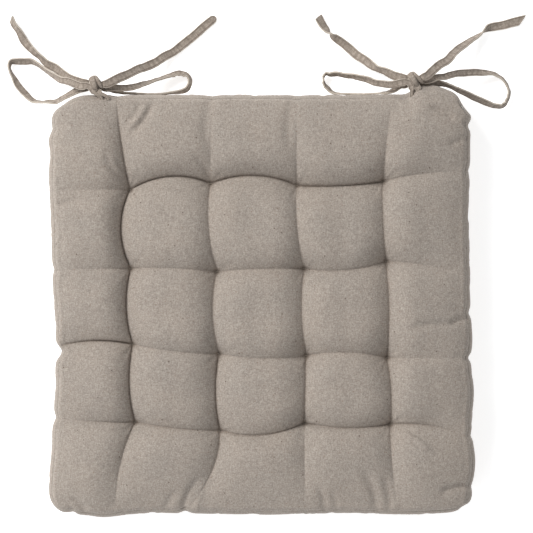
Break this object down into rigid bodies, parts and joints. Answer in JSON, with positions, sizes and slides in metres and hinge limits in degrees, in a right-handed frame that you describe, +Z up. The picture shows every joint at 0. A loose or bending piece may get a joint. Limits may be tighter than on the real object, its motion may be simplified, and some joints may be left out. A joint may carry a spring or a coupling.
{
  "type": "tufted chair pad",
  "caption": "Square boxed chair pad in plain linen canvas, hand tufted in a grid of pockets, with fabric ties knotted in a bow at each rear corner.",
  "frame": {"origin": "middle of the pad's underside, on the surface that it lies on", "axes": "+Z up out of the seat side, +Y to the rear edge that carries the ties, +X to the right seen from above with the ties at the top"},
  "size_m": [0.5009, 0.4814, 0.0572],
  "materials": {
    "canvas": "matte",
    "tape": "matte",
    "twine": "matte",
    "fibre": "matte"
  },
  "bodies": {
    "pad": {"top_panel": "canvas", "bottom_panel": "canvas", "side_band_rear": "canvas", "side_band_left": "canvas", "side_band_front": "canvas", "side_band_right": "canvas", "filling": "fibre", "tuft_thread_1_1": "twine", "tuft_thread_1_2": "twine", "tuft_thread_1_3": "twine", "tuft_thread_1_4": "twine", "tuft_thread_2_1": "twine", "tuft_thread_2_2": "twine", "tuft_thread_2_3": "twine", "tuft_thread_2_4": "twine", "tuft_thread_3_1": "twine", "tuft_thread_3_2": "twine", "tuft_thread_3_3": "twine", "tuft_thread_3_4": "twine", "tuft_thread_4_1": "twine", "tuft_thread_4_2": "twine", "tuft_thread_4_3": "twine", "tuft_thread_4_4": "twine"},
    "left_ties": {"left_knot": "tape", "left_stem_1": "tape", "left_stem_2": "tape", "left_loop_left": "tape", "left_loop_right": "tape", "left_tail_left": "tape", "left_tail_right": "tape"},
    "right_ties": {"right_knot": "tape", "right_stem_1": "tape", "right_stem_2": "tape", "right_loop_left": "tape", "right_loop_right": "tape", "right_tail_left": "tape", "right_tail_right": "tape"}
  },
  "joints": [
    {"name": "left_ties_fold", "type": "hinge", "parent": "pad", "child": "left_ties", "pos_m": [-0.1495, 0.1958, 0.0472], "axis": [1, 0, 0], "range_deg": [0, 115]},
    {"name": "right_ties_fold", "type": "hinge", "parent": "pad", "child": "right_ties", "pos_m": [0.1456, 0.1958, 0.0472], "axis": [1, 0, 0], "range_deg": [0, 115]}
  ]
}
